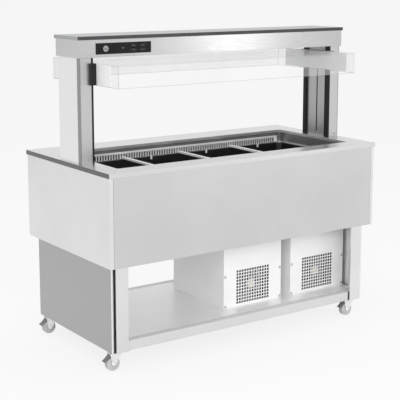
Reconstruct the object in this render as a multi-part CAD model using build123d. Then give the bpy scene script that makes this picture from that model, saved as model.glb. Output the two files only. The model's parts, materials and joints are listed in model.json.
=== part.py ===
"""Refrigerated buffet island: a wheeled cabinet with a chilled well, a gantry and a lifting clear hood.

The origin is on the floor under the middle of the deck. X runs along the length, the front looks to -Y, Z is up.
"""
import os
from math import hypot

from build123d import *

# Overall sizes and stock
length = 1550.0
depth = 800.0
deck_height = 910.0
sheet = 1.5
seat_gap = 0.3

# Deck and well
deck_edge = 21.0
deck_lip = 14.0
centre_line = -30.0
well_end_rim = 100.0
well_width = 542.0
well_corner = 12.0
ledge_drop = 63.0
ledge_width = 14.0
well_depth = 250.0
well_draft = 15.0
tank_corner = 20.0
tank_flange = 15.0
insulation = 40.0

# Air outlet on the back wall of the well
outlet_end_gap = 25.0
outlet_proud = 8.0
outlet_height = 32.0
slot_pitch = 15.0
slot_width = 8.5
slot_height = 24.0

# Divider bars between the pans
pan_pitch = 330.0
bar_width = 18.0
bar_height = 9.0

# Evaporator behind the well
coil_end_gap = 180.0
coil_depth = 80.0
coil_height = 130.0
coil_fin_pitch = 60.0
coil_fin_slot = 40.0
coil_fin_cut = 65.0

# Body panels
skirt_drop = 422.0
skirt_gap = 4.0
skirt_return = 18.0
skirt_flange = 20.0
seam = 1.0

# Base frame, covers and shelf
base_inset_x = 30.0
base_inset_y = 38.0
post_size = 40.0
post_recess = 10.0
tube_wall = 2.0
rail_depth = 50.0
rail_height = 45.0
centre_rail = 40.0
cover_setback = 18.0
cover_width = 64.0
panel_setback = 12.0
shelf_rib = 30.0
shelf_rib_height = 18.0
shelf_rib_spacing = 280.0

# Gantry
column_inset = 14.0
column_width = 58.0
column_depth = 200.0
column_height = 475.0
column_return = 14.0
trim_depth = 25.0
trim_thickness = 4.0
rail_proud = 10.0
front_rail_width = 30.0
back_rail_width = 22.0
beam_overhang = 7.0
beam_depth = 216.0
beam_height = 93.0
lid_overhang = 5.0
lid_thickness = 2.0
edging_height = 16.0
edging_thickness = 3.0

# Hood and its lift
hood_depth = 606.0
hood_height = 100.0
hood_wall = 5.0
hood_clearance = 352.0
hood_travel = 350.0
slide_gap = 0.5
shoe_web = 5.5
shoe_leg = 18.0
shoe_wrap = 10.0
shoe_height = 96.0
plate_thickness = 3.0
plate_length = 480.0
plate_height = 92.0
arm_thickness = 5.0
arm_height = 60.0
arm_gap = 1.5
rod_size = 16.0
rod_grip = 55.0
actuator_size = 32.0
actuator_foot = 50.0
actuator_foot_height = 6.0
rod_hole = 24.0

# Controls
fascia_length = 286.0
fascia_height = 50.0
fascia_thickness = 3.0
fascia_inset = 86.0
fascia_margin = 6.0
button_gap = 0.3
button_proud = 2.5
button_flange = 1.5
flange_thickness = 1.5
power_diameter = 28.0
power_inset = 48.0
key_length = 34.0
key_height = 12.0
key_chamfer = 0.6
key_column_inset = 192.0
key_column_pitch = 48.0
key_row_pitch = 20.0

# Condensing units
unit_width = 356.0
unit_height = 318.0
unit_depth = 440.0
unit_front_y = -225.0
unit_end_gap = 4.0
unit_pitch = 418.0
grille_columns = 13
grille_rows = 11
grille_pitch = 15.8
grille_hole = 11.2
grille_lift = 11.0
fan_diameter = 170.0
fan_setback = 20.0
fan_blades = 5
fan_hub = 56.0
fan_thickness = 26.0
fan_bore_gap = 0.08
blade_angle = 32.0
blade_thickness = 1.5
blade_flare = 7.0
shaft_diameter = 6.0
shroud_gap = 5.0
motor_diameter = 64.0
motor_length = 52.0
motor_arm = 12.0
condenser_width = 300.0
condenser_height = 240.0
condenser_depth = 50.0
condenser_setback = 130.0
condenser_fin_pitch = 30.0
condenser_fin_slot = 20.0
condenser_fin_cut = 38.0
compressor_diameter = 160.0
compressor_height = 190.0
compressor_setback = 285.0
compressor_taper = 36.0
compressor_cavity = 112.0
compressor_foot = 190.0
compressor_foot_height = 12.0

# Casters
caster_height = 90.0
caster_inset_x = 45.0
caster_inset_y = 50.0
caster_plate = 76.0
caster_plate_height = 3.0
caster_trail = 22.0
wheel_diameter = 64.0
wheel_width = 24.0
wheel_gap = 2.0
axle_diameter = 8.0
axle_gap = 0.08
fork_thickness = 3.0
fork_crown = 4.0
fork_front = 18.0
fork_boss = 9.0
swivel_diameter = 40.0
swivel_height = 4.7
king_pin = 10.0
pedal_pin = 6.0
pedal_pin_x = -34.0
pedal_pin_drop = 20.0
pedal_hub = 5.5
pedal_width = 24.0
pedal_reach = 34.0
pedal_fall = 24.0
pedal_thickness = 3.0

# Levels and faces that the sizes above give
half_length = length / 2
half_depth = depth / 2
deck_under = deck_height - sheet
ledge_level = deck_height - ledge_drop
tank_floor = deck_height - well_depth
skirt_bottom = deck_height - skirt_drop
floor_pan_level = skirt_bottom + sheet
skirt_x = half_length - skirt_gap
skirt_y = half_depth - skirt_gap
base_x = half_length - base_inset_x
base_y = half_depth - base_inset_y
post_x = base_x - post_recess
post_y = base_y - post_recess
well_length = length - 2 * well_end_rim
outlet_length = well_length - 2 * outlet_end_gap
rail_top = caster_height + rail_height
shelf_top = rail_top + sheet
column_outer = half_length - column_inset
column_inner = column_outer - column_width
column_front = centre_line - column_depth / 2
column_back = centre_line + column_depth / 2
column_top = deck_height + column_height
beam_x = column_outer + beam_overhang
beam_front = centre_line - beam_depth / 2
beam_top = column_top + beam_height
hood_bottom = deck_height + hood_clearance
hood_top = hood_bottom + hood_height
plate_outer = column_inner - rail_proud - slide_gap - shoe_web
hood_x = plate_outer - plate_thickness
rod_x = column_inner + column_width / 2
unit_left_x = post_x - unit_end_gap - unit_width - unit_pitch
back_wall = centre_line + well_width / 2 + sheet
outlet_face = back_wall - outlet_proud
tank_length = well_length + 2 * sheet - 2 * ledge_width
tank_width = well_width + 2 * sheet - 2 * ledge_width
coil_length = tank_length - 2 * coil_end_gap


def block(x_limits, y_limits, z_limits):
    """Block between a pair of limits along each axis."""
    spans = [high - low for low, high in (x_limits, y_limits, z_limits)]
    middles = [(low + high) / 2 for low, high in (x_limits, y_limits, z_limits)]
    return Pos(*middles) * Box(*spans)


def fold_outline(points, thickness):
    """Closed outline of a sheet folded along points, with its thickness on the left of the path."""
    lines = []
    for (ax, ay), (bx, by) in zip(points, points[1:]):
        run = hypot(bx - ax, by - ay)
        across = (-(by - ay) / run * thickness, (bx - ax) / run * thickness)
        lines.append(((bx - ax) / run, (by - ay) / run, ax + across[0], ay + across[1], run))
    inner = [(lines[0][2], lines[0][3])]
    for (ux, uy, px, py, _), (vx, vy, qx, qy, _) in zip(lines, lines[1:]):
        along = ((qx - px) * vy - (qy - py) * vx) / (ux * vy - uy * vx)
        inner.append((px + along * ux, py + along * uy))
    ux, uy, px, py, run = lines[-1]
    inner.append((px + run * ux, py + run * uy))
    return Polygon(*points, *reversed(inner), align=None)


def along_x(outline, start, end):
    """Prism of a (y, z) outline from one x to another."""
    return extrude(Plane.YZ.offset(start) * outline, amount=end - start, dir=(1, 0, 0))


def along_y(outline, start, end):
    """Prism of an (x, z) outline from one y to another."""
    return extrude(Plane.XZ.offset(-start) * outline, amount=end - start, dir=(0, 1, 0))


def along_z(outline, start, end):
    """Prism of an (x, y) outline from one level to another."""
    return extrude(Plane.XY.offset(start) * outline, amount=end - start, dir=(0, 0, 1))


def mirrored_x(shape):
    return mirror(shape, about=Plane.YZ)


def mirrored_y(shape):
    return mirror(shape, about=Plane.XZ)


def well_outline(grow):
    """Outline of the well opening, grown by a margin."""
    return Pos(0, centre_line) * RectangleRounded(well_length + 2 * grow, well_width + 2 * grow, well_corner + grow)


def rod_positions():
    return [Pos(-rod_x, centre_line), Pos(rod_x, centre_line)]


def deck_top():
    """Stainless deck with turned-down edges and a turned-down lip round the well."""
    foot = deck_height - deck_edge
    deck = along_z(Rectangle(length, depth), foot, deck_height)
    deck -= along_z(Rectangle(length - 2 * sheet, depth - 2 * sheet), foot, deck_under)
    deck += along_z(well_outline(sheet), deck_height - deck_lip, deck_height)
    deck -= along_z(well_outline(0), foot, deck_height)
    for place in rod_positions():
        deck -= along_z(place * Rectangle(rod_hole, rod_hole), foot, deck_height)
    return deck


def cut_corners(width, height, cut):
    """Rectangle with its corners cut off."""
    outline = Rectangle(width, height)
    return chamfer(outline.vertices(), cut)


def tank_cone(grow, level):
    """Lower part of the well, which draws in towards its floor."""
    top = cut_corners(tank_length + 2 * grow, tank_width + 2 * grow, tank_corner)
    low = cut_corners(tank_length - 2 * well_draft + 2 * grow, tank_width - 2 * well_draft + 2 * grow, tank_corner)
    sections = [Pos(0, centre_line, level) * low, Pos(0, centre_line, ledge_level) * top]
    return loft(sections, ruled=True)


def well_tank():
    """Stepped tank with a ledge for the pans and an air window in the back wall."""
    tank = along_z(well_outline(2 * sheet), ledge_level - sheet, deck_under)
    tank += along_z(well_outline(2 * sheet + tank_flange), deck_under - sheet, deck_under)
    tank += tank_cone(sheet, tank_floor - sheet)
    tank -= along_z(well_outline(sheet), ledge_level, deck_height)
    tank -= tank_cone(0, tank_floor)
    window_x = outlet_length / 2 - outlet_height
    window_low = ledge_level + (outlet_height - slot_height) / 2
    window_y = (outlet_face, back_wall + outlet_proud)
    return tank - block((-window_x, window_x), window_y, (window_low, window_low + slot_height))


def well_insulation():
    """Foam tub round the lower part of the well."""
    margin = 2 * (sheet + insulation)
    outline = Pos(0, centre_line) * cut_corners(tank_length + margin, tank_width + margin, tank_corner)
    foam = along_z(outline, tank_floor - sheet - insulation, ledge_level - sheet)
    return foam - tank_cone(sheet, tank_floor - sheet)


def air_outlet_grille():
    """Folded strip on the back wall, cut to a comb of upright teeth."""
    low = ledge_level + seat_gap
    top = low + outlet_height
    slots = int((outlet_length - outlet_height) / slot_pitch)
    face = Pos(0, (low + top) / 2) * Rectangle(outlet_length, outlet_height)
    slot = Pos(0, low + slot_height / 2) * Rectangle(slot_width, slot_height)
    face -= GridLocations(slot_pitch, slot_pitch, slots, 1) * slot
    strip = along_y(face, outlet_face, outlet_face + sheet)
    ledge = block((-outlet_length / 2, outlet_length / 2), (outlet_face, back_wall), (top - sheet, top))
    return strip + ledge


def pan_bars():
    """Three folded bars that lie across the well on the pan ledge."""
    edge = bar_width / 2
    top = ledge_level + bar_height
    outline = fold_outline([(edge, ledge_level), (edge, top), (-edge, top), (-edge, ledge_level)], sheet)
    front = centre_line - well_width / 2 - sheet + seat_gap
    bar = along_y(outline, front, outlet_face - seat_gap)
    return Compound(children=[Pos(pan_pitch * step, 0, 0) * bar for step in (-1, 0, 1)])


def evaporator_coil():
    """Finned cooling coil fixed to the back of the insulated tub."""
    front = centre_line + tank_width / 2 + sheet + insulation
    low = tank_floor
    coil = block((-coil_length / 2, coil_length / 2), (front, front + coil_depth), (low, low + coil_height))
    fins = int(coil_length / coil_fin_pitch) - 1
    slot = Box(coil_fin_slot, 2 * coil_fin_cut, coil_height)
    gaps = [place * slot for place in GridLocations(coil_fin_pitch, 1, fins, 1)]
    return coil - [Pos(0, front + coil_depth, low + coil_height / 2) * gap for gap in gaps]


def front_skirt():
    """Front panel between the corner returns, with a flange under it."""
    path = [(-skirt_y, deck_under), (-skirt_y, skirt_bottom), (-skirt_y + skirt_flange, skirt_bottom)]
    end = skirt_x - skirt_return - seam
    return along_x(fold_outline(path, sheet), -end, end)


def left_skirt():
    """End panel that wraps round both corners, with a flange under it."""
    inner = -skirt_x + skirt_return
    path = [(inner, skirt_y), (-skirt_x, skirt_y), (-skirt_x, -skirt_y), (inner, -skirt_y)]
    wall = along_z(fold_outline(path, sheet), skirt_bottom, deck_under)
    corners = wall.edges().filter_by(Axis.Z).group_by(Axis.X)[0]
    wall = fillet(corners, sheet)
    flange_end = skirt_y - sheet
    flange = block((-skirt_x + sheet, inner), (-flange_end, flange_end), (skirt_bottom, floor_pan_level))
    return wall + flange


def floor_pan():
    """Sheet that closes the body from below, lying on the flanges of the panels."""
    x_edge = skirt_x - sheet - seat_gap
    y_edge = skirt_y - sheet - seat_gap
    return block((-x_edge, x_edge), (-y_edge, y_edge), (floor_pan_level, floor_pan_level + sheet))


def tube(width, height):
    """Section of a rectangular tube."""
    return Rectangle(width, height) - Rectangle(width - 2 * tube_wall, height - 2 * tube_wall)


def base_frame():
    """Welded tube frame: four posts, four bottom rails and a middle rail under the shelf."""
    post_centre = (post_x - post_size / 2, post_y - post_size / 2)
    frame = None
    for side in (-1, 1):
        for face in (-1, 1):
            place = Pos(side * post_centre[0], face * post_centre[1])
            post = along_z(place * tube(post_size, post_size), caster_height, floor_pan_level)
            frame = post if frame is None else frame + post
    rail_middle = caster_height + rail_height / 2
    inner_x = post_x - post_size
    inner_y = post_y - post_size
    for face in (-1, 1):
        place = Pos(face * (post_y - rail_depth / 2), rail_middle)
        frame += along_x(place * tube(rail_depth, rail_height), -inner_x, inner_x)
    for side in (-1, 1):
        place = Pos(side * post_centre[0], rail_middle)
        frame += along_y(place * tube(post_size, rail_height), -inner_y, inner_y)
    middle_y = post_y - rail_depth
    return frame + along_y(Pos(0, rail_middle) * tube(centre_rail, rail_height), -middle_y, middle_y)


def post_covers():
    """Folded covers on the outer faces of the four posts."""
    left = -base_x + cover_setback
    right = left + cover_width
    path = [(left, -post_y), (left, -base_y), (right, -base_y), (right, -post_y)]
    cover = along_z(fold_outline(path, sheet), caster_height, floor_pan_level)
    row = [cover, mirrored_x(cover)]
    return Compound(children=row + [mirrored_y(piece) for piece in row])


def left_end_panel():
    """Shallow tray that closes the end of the base."""
    edge = base_y - panel_setback
    panel = block((-base_x, -post_x), (-edge, edge), (caster_height, floor_pan_level))
    hollow = block(
        (-base_x + sheet, -post_x),
        (-edge + sheet, edge - sheet),
        (caster_height + sheet, floor_pan_level - sheet),
    )
    return panel - hollow


def shelf_right():
    """Shelf sheet on the base rails, stiffened by two folded ribs."""
    edge_y = post_y - post_size - seat_gap
    shelf = block((seam / 2, post_x - tube_wall), (-edge_y, edge_y), (rail_top, shelf_top))
    low = rail_top - shelf_rib_height
    half = shelf_rib / 2
    start = centre_rail / 2 + seat_gap
    end = post_x - post_size - seat_gap
    for side in (-1, 1):
        middle = side * shelf_rib_spacing / 2
        path = [(middle - half, rail_top), (middle - half, low), (middle + half, low), (middle + half, rail_top)]
        shelf += along_x(fold_outline(path, sheet), start, end)
    return shelf


def column_left():
    """Folded column, open towards the well, with a step for the trim at its outer front corner."""
    step = -column_outer + trim_thickness
    path = [
        (-column_inner, column_back - column_return),
        (-column_inner, column_back),
        (-column_outer, column_back),
        (-column_outer, column_front + trim_depth),
        (step, column_front + trim_depth),
        (step, column_front),
        (-column_inner, column_front),
        (-column_inner, column_front + column_return),
    ]
    return along_z(fold_outline(path, sheet), deck_height, column_top)


def column_trims():
    """Dark strips that fill the step of each column."""
    trim = block(
        (-column_outer, -column_outer + trim_thickness),
        (column_front, column_front + trim_depth),
        (deck_height, column_top),
    )
    return Compound(children=[trim, mirrored_x(trim)])


def arm_level():
    """Middle of the lifting arm with the hood raised."""
    return hood_bottom + hood_height / 2


def column_panels():
    """Inner panels of the columns, each with a slot for the lifting arm."""
    edge = column_return + seat_gap
    panel = block(
        (-column_inner - sheet, -column_inner),
        (column_front + edge, column_back - edge),
        (deck_height, column_top),
    )
    top = arm_level() + arm_height / 2 + arm_gap
    low = arm_level() - hood_travel - arm_height / 2 - arm_gap
    width = arm_thickness + 2 * arm_gap
    slot = Pos(centre_line, (low + top) / 2) * Rectangle(width, top - low)
    panel -= along_x(slot, -column_inner - sheet, -column_inner)
    return Compound(children=[panel, mirrored_x(panel)])


def guide_rails():
    """Black rails along both edges of each column's inner face."""
    x_limits = (-column_inner, -column_inner + rail_proud)
    levels = (deck_height, column_top)
    front = block(x_limits, (column_front, column_front + front_rail_width), levels)
    back = block(x_limits, (column_back - back_rail_width, column_back), levels)
    row = [front, back]
    return Compound(children=row + [mirrored_x(piece) for piece in row])


def fascia_middle():
    """Centre of the control fascia on the beam, as x and level."""
    return (-beam_x + fascia_inset + fascia_length / 2, column_top + (beam_height - edging_height) / 2)


def gantry_beam():
    """Folded trough over the columns, with a window behind the controls."""
    back = beam_front + beam_depth
    beam = block((-beam_x, beam_x), (beam_front, back), (column_top, beam_top))
    beam -= block((-beam_x + sheet, beam_x - sheet), (beam_front + sheet, back - sheet), (column_top + sheet, beam_top))
    window = Rectangle(fascia_length - 2 * fascia_margin, fascia_height - 2 * fascia_margin)
    return beam - along_y(Pos(*fascia_middle()) * window, beam_front, beam_front + sheet)


def gantry_lid():
    """Flat lid on the beam, with its ends turned down."""
    end = beam_x + lid_overhang
    top = beam_top + lid_thickness
    low = top - edging_height
    reach = beam_depth / 2 + lid_overhang - edging_thickness
    outline = fold_outline([(end, low), (end, top), (-end, top), (-end, low)], lid_thickness)
    return along_y(outline, centre_line - reach, centre_line + reach)


def lid_edging():
    """Dark strips along the front and back of the lid."""
    end = beam_x + lid_overhang
    top = beam_top + lid_thickness
    face = centre_line - beam_depth / 2 - lid_overhang
    back = centre_line + beam_depth / 2 + lid_overhang
    levels = (top - edging_height, top)
    front_strip = block((-end, end), (face, face + edging_thickness), levels)
    back_strip = block((-end, end), (back - edging_thickness, back), levels)
    return Compound(children=[front_strip, back_strip])


def hood_canopy():
    """Clear box, open below."""
    front = centre_line - hood_depth / 2
    back = centre_line + hood_depth / 2
    hood = block((-hood_x, hood_x), (front, back), (hood_bottom, hood_top))
    inner_x = hood_x - hood_wall
    return hood - block(
        (-inner_x, inner_x), (front + hood_wall, back - hood_wall), (hood_bottom, hood_top - hood_wall)
    )


def carriage_plates():
    """Plates on the ends of the hood that carry the shoes and the lifting arms."""
    reach = plate_length / 2
    middle = arm_level()
    plate = block(
        (-plate_outer, -hood_x),
        (centre_line - reach, centre_line + reach),
        (middle - plate_height / 2, middle + plate_height / 2),
    )
    return Compound(children=[plate, mirrored_x(plate)])


def guide_shoes():
    """Black shoes that wrap round the guide rails."""
    web = -plate_outer - shoe_web
    inside = -column_inner + slide_gap
    wrap = -column_inner - shoe_wrap
    levels = (arm_level() - shoe_height / 2, arm_level() + shoe_height / 2)
    shoes = []
    ends = ((column_front, column_front + front_rail_width, -1), (column_back, column_back - back_rail_width, 1))
    for face, rail_edge, way in ends:
        outer = face + way * (slide_gap + shoe_leg)
        inner = rail_edge - way * (slide_gap + shoe_leg)
        points = [
            (wrap, outer),
            (-plate_outer, outer),
            (-plate_outer, inner),
            (inside, inner),
            (inside, rail_edge - way * slide_gap),
            (web, rail_edge - way * slide_gap),
            (web, face + way * slide_gap),
            (wrap, face + way * slide_gap),
        ]
        shoes.append(along_z(Polygon(*points, align=None), *levels))
    return Compound(children=shoes + [mirrored_x(piece) for piece in shoes])


def lift_rods():
    """Square lifting rods, each with an arm through the column slot."""
    middle = arm_level()
    half = arm_thickness / 2
    rod = along_z(Pos(-rod_x, centre_line) * Rectangle(rod_size, rod_size), deck_under - rod_grip, middle)
    rod += block(
        (-rod_x, -plate_outer),
        (centre_line - half, centre_line + half),
        (middle - arm_height / 2, middle + arm_height / 2),
    )
    return Compound(children=[rod, mirrored_x(rod)])


def lift_actuators():
    """Square actuator tubes beside the well, with the lifting rods running in them."""
    place = Pos(-rod_x, centre_line)
    low = floor_pan_level + sheet
    bore = Rectangle(rod_size + 2 * slide_gap, rod_size + 2 * slide_gap)
    body = along_z(place * (Rectangle(actuator_size, actuator_size) - bore), low, deck_under)
    foot = Rectangle(actuator_foot, actuator_foot) - bore
    body += along_z(place * foot, low, low + actuator_foot_height)
    return Compound(children=[body, mirrored_x(body)])


def control_outlines():
    """Outline of each control on the fascia, with its centre as x and level."""
    middle_x, level = fascia_middle()
    start = middle_x - fascia_length / 2
    controls = {"power_button": (lambda grow: Circle(power_diameter / 2 + grow), (start + power_inset, level))}
    names = (("raise_key", 0, 1), ("lower_key", 0, -1), ("light_key", 1, 1), ("defrost_key", 1, -1))
    for name, column, row in names:
        centre = (start + key_column_inset + column * key_column_pitch, level + row * key_row_pitch / 2)
        controls[name] = (lambda grow: Rectangle(key_length + 2 * grow, key_height + 2 * grow), centre)
    return controls


def control_fascia():
    """Black strip on the front of the beam, pierced for the button and the keys."""
    outline = Pos(*fascia_middle()) * Rectangle(fascia_length, fascia_height)
    for shape, centre in control_outlines().values():
        outline -= Pos(*centre) * shape(button_gap)
    return along_y(outline, beam_front - fascia_thickness, beam_front)


def control_button(name):
    """Cap that stands out of the fascia, with a flange behind it."""
    shape, centre = control_outlines()[name]
    back = beam_front + seat_gap
    cap = along_y(Pos(*centre) * shape(0), beam_front - fascia_thickness - button_proud, back)
    size = cap.bounding_box().size
    flange = Rectangle(size.X + 2 * button_flange, size.Z + 2 * button_flange)
    if name != "power_button":
        cap = chamfer(cap.faces().sort_by(Axis.Y)[0].edges(), key_chamfer)
    return cap + along_y(Pos(*centre) * flange, back, back + flange_thickness)


def unit_cover_left():
    """Folded cover of a condensing unit: two sides and a top."""
    right = unit_left_x + unit_width
    top = shelf_top + unit_height
    path = [(right, shelf_top), (right, top), (unit_left_x, top), (unit_left_x, shelf_top)]
    return along_y(fold_outline(path, sheet), unit_front_y, unit_front_y + unit_depth)


def grille_middle():
    """Centre of the perforated field, as x and level."""
    rise = grille_lift + grille_rows * grille_pitch / 2
    return (unit_left_x + unit_width / 2, shelf_top + rise)


def unit_front_left():
    """Front sheet of a condensing unit with a square field of perforations."""
    outline = Pos(unit_left_x + unit_width / 2, shelf_top + unit_height / 2) * Rectangle(unit_width, unit_height)
    hole = Pos(*grille_middle()) * Rectangle(grille_hole, grille_hole)
    outline -= GridLocations(grille_pitch, grille_pitch, grille_columns, grille_rows) * hole
    return along_y(outline, unit_front_y - sheet, unit_front_y)


def fan_back():
    """Back face of the fan, which is the front of its shroud's plate."""
    return unit_front_y + fan_setback + fan_thickness


def fan_shrouds():
    """Plates inside the covers, open round each fan."""
    middle_x, level = grille_middle()
    half = unit_width / 2 - sheet - seat_gap
    top = shelf_top + unit_height - sheet - seat_gap
    opening = Pos(middle_x, level) * Circle(fan_diameter / 2 + shroud_gap)
    outline = Pos(middle_x, (shelf_top + top) / 2) * Rectangle(2 * half, top - shelf_top)
    shroud = along_y(outline - opening, fan_back(), fan_back() + sheet)
    return Compound(children=[shroud, Pos(unit_pitch, 0, 0) * shroud])


def fan_motors():
    """Fan motors with their shafts, each on an arm behind its shroud."""
    middle_x, level = grille_middle()
    arm_face = fan_back() + sheet
    centre = Pos(middle_x, level)
    motor = along_y(centre * Circle(motor_diameter / 2), arm_face, arm_face + motor_length)
    motor += along_y(centre * Circle(shaft_diameter / 2), unit_front_y + fan_setback, arm_face)
    reach = fan_diameter + 2 * shroud_gap + motor_arm
    motor += along_y(centre * Rectangle(reach, motor_arm), arm_face, arm_face + 2 * sheet)
    return Compound(children=[motor, Pos(unit_pitch, 0, 0) * motor])


def fan_rotor_left():
    """Axial fan: a hub on the motor shaft and pitched blades."""
    hub = Cylinder(fan_hub / 2, fan_thickness)
    root = fan_hub / 2 - blade_thickness
    tip = fan_diameter / 2 - blade_thickness
    chord = fan_thickness / 2
    heel = [(root, -chord), (tip - chord, -chord - blade_flare), (tip, -chord)]
    nose = [(tip, chord), (tip - chord, chord + blade_flare), (root, chord)]
    outline = Polygon(*heel, *nose, align=None)
    blade = Rot(blade_angle, 0, 0) * extrude(outline, amount=blade_thickness / 2, both=True)
    rotor = hub + [place * blade for place in PolarLocations(0, fan_blades)]
    rotor -= Cylinder(shaft_diameter / 2 + fan_bore_gap, fan_thickness)
    middle_x, level = grille_middle()
    middle_y = fan_back() - fan_thickness / 2 - seat_gap
    return Pos(middle_x, middle_y, level) * Rot(90, 0, 0) * rotor


def condenser_coils():
    """Finned condensers behind the fans."""
    middle_x = unit_left_x + unit_width / 2
    front = unit_front_y + condenser_setback
    low = shelf_top
    coil = Pos(middle_x, front + condenser_depth / 2, low + condenser_height / 2) * Box(
        condenser_width, condenser_depth, condenser_height
    )
    fins = int(condenser_width / condenser_fin_pitch) - 1
    slot = Box(condenser_fin_slot, 2 * condenser_fin_cut, condenser_height)
    for place in GridLocations(condenser_fin_pitch, 1, fins, 1):
        coil -= Pos(middle_x, front, low + condenser_height / 2) * place * slot
    return Compound(children=[coil, Pos(unit_pitch, 0, 0) * coil])


def compressors():
    """Hermetic compressors: a domed pot on a square foot plate."""
    radius = compressor_diameter / 2
    foot_top = compressor_foot_height
    pot = along_z(Circle(radius), 0, compressor_height - foot_top)
    pot = chamfer(pot.faces().sort_by(Axis.Z)[-1].edges(), compressor_taper)
    cavity = Rectangle(compressor_cavity, compressor_cavity)
    pot -= along_z(cavity, 0, compressor_height - foot_top - compressor_taper)
    foot = along_z(Rectangle(compressor_foot, compressor_foot) - cavity, 0, foot_top)
    middle_x = unit_left_x + unit_width / 2
    place = Pos(middle_x, unit_front_y + compressor_setback, shelf_top)
    compressor = place * (foot + Pos(0, 0, foot_top) * pot)
    return Compound(children=[compressor, Pos(unit_pitch, 0, 0) * compressor])


def caster_places():
    """Swivel axis of each caster, by corner."""
    x = base_x - caster_inset_x
    y = base_y - caster_inset_y
    return {
        "front_left": Pos(-x, -y, 0),
        "front_right": Pos(x, -y, 0),
        "back_left": Pos(-x, y, 0),
        "back_right": Pos(x, y, 0),
    }


def caster_plates():
    """Top plates that bolt under the corners of the frame, each with the raceway of its swivel."""
    plate_low = caster_height - caster_plate_height
    plate = along_z(Rectangle(caster_plate, caster_plate), plate_low, caster_height)
    plate += along_z(Circle(swivel_diameter / 2) - Circle(king_pin / 2 + axle_gap), plate_low - swivel_height, plate_low)
    return Compound(children=[place * plate for place in caster_places().values()])


def fork_levels():
    """Top and underside of the crown and height of the brake pin."""
    head = caster_height - caster_plate_height - swivel_height - seat_gap
    return head, head - fork_crown, caster_height - pedal_pin_drop


def caster_fork():
    """Pressed fork with its king pin, axle and brake pin."""
    head, crown, pin_level = fork_levels()
    inner = wheel_width / 2 + wheel_gap
    outer = inner + fork_thickness
    back = pedal_pin_x - pedal_hub
    axle = wheel_diameter / 2
    toe = fork_boss / 2
    leg_outline = Polygon(
        (back, head),
        (back, crown),
        (-caster_trail - fork_boss, axle - toe),
        (-caster_trail - toe, axle - fork_boss),
        (-caster_trail + toe, axle - fork_boss),
        (-caster_trail + fork_boss, axle - toe),
        (fork_front, crown),
        (fork_front, head),
        align=None,
    )
    fork = along_y(leg_outline, inner, outer) + along_y(leg_outline, -outer, -inner)
    fork += block((back, fork_front), (-outer, outer), (crown, crown + fork_crown))
    fork += along_z(Circle(king_pin / 2), head, head + swivel_height)
    fork += along_y(Pos(-caster_trail, axle) * Circle(axle_diameter / 2), -outer, outer)
    return fork + along_y(Pos(pedal_pin_x, pin_level) * Circle(pedal_pin / 2), -outer, outer)


def caster_wheel():
    """Wheel that turns on the axle of its fork."""
    radius = wheel_diameter / 2
    outline = Circle(radius) - Circle(axle_diameter / 2 + axle_gap)
    return along_y(Pos(-caster_trail, radius) * outline, -wheel_width / 2, wheel_width / 2)


def brake_pedal():
    """Foot pedal that turns on the brake pin and presses on the tyre."""
    pin_level = fork_levels()[2]
    pin = Pos(pedal_pin_x, pin_level)
    tip = (pedal_pin_x - pedal_reach, pin_level - pedal_fall)
    path = [(pedal_pin_x, pin_level + pedal_pin / 2), (tip[0] + pedal_thickness, tip[1]), (tip[0], tip[1])]
    pedal = along_y(fold_outline(list(reversed(path)), pedal_thickness), -pedal_width / 2, pedal_width / 2)
    pedal += along_y(pin * Rectangle(2 * pedal_hub, 2 * pedal_hub), -pedal_width / 2, pedal_width / 2)
    return pedal - along_y(pin * Circle(pedal_pin / 2 + axle_gap), -pedal_width / 2, pedal_width / 2)


def build():
    """Every piece by node name."""
    pieces = {
        "deck_top": deck_top(),
        "well_tank": well_tank(),
        "well_insulation": well_insulation(),
        "air_outlet_grille": air_outlet_grille(),
        "pan_bars": pan_bars(),
        "evaporator_coil": evaporator_coil(),
        "front_skirt": front_skirt(),
        "back_skirt": mirrored_y(front_skirt()),
        "left_skirt": left_skirt(),
        "right_skirt": mirrored_x(left_skirt()),
        "floor_pan": floor_pan(),
        "base_frame": base_frame(),
        "post_covers": post_covers(),
        "left_end_panel": left_end_panel(),
        "right_end_panel": mirrored_x(left_end_panel()),
        "shelf_right": shelf_right(),
        "shelf_left": mirrored_x(shelf_right()),
        "column_left": column_left(),
        "column_right": mirrored_x(column_left()),
        "column_trims": column_trims(),
        "column_panels": column_panels(),
        "guide_rails": guide_rails(),
        "gantry_beam": gantry_beam(),
        "gantry_lid": gantry_lid(),
        "lid_edging": lid_edging(),
        "hood_canopy": hood_canopy(),
        "carriage_plates": carriage_plates(),
        "guide_shoes": guide_shoes(),
        "lift_rods": lift_rods(),
        "lift_actuators": lift_actuators(),
        "control_fascia": control_fascia(),
        "unit_cover_left": unit_cover_left(),
        "unit_cover_right": Pos(unit_pitch, 0, 0) * unit_cover_left(),
        "unit_front_left": unit_front_left(),
        "unit_front_right": Pos(unit_pitch, 0, 0) * unit_front_left(),
        "fan_shrouds": fan_shrouds(),
        "fan_motors": fan_motors(),
        "fan_rotor_left": fan_rotor_left(),
        "fan_rotor_right": Pos(unit_pitch, 0, 0) * fan_rotor_left(),
        "condenser_coils": condenser_coils(),
        "compressors": compressors(),
        "caster_plates": caster_plates(),
    }
    for name in control_outlines():
        pieces[name] = control_button(name)
    for corner, place in caster_places().items():
        pieces[f"caster_fork_{corner}"] = place * caster_fork()
        pieces[f"caster_wheel_{corner}"] = place * caster_wheel()
        pieces[f"brake_pedal_{corner}"] = place * brake_pedal()
    return pieces


os.makedirs("parts", exist_ok=True)
for node, shape in build().items():
    export_step(shape, f"parts/{node}.step")
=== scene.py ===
"""Looks of a refrigerated buffet island: finishes for every solid, small hardware and a plain studio."""

import json
from math import cos, pi, radians, sin

import bmesh
import bpy
from mathutils import Matrix, Vector


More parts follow.
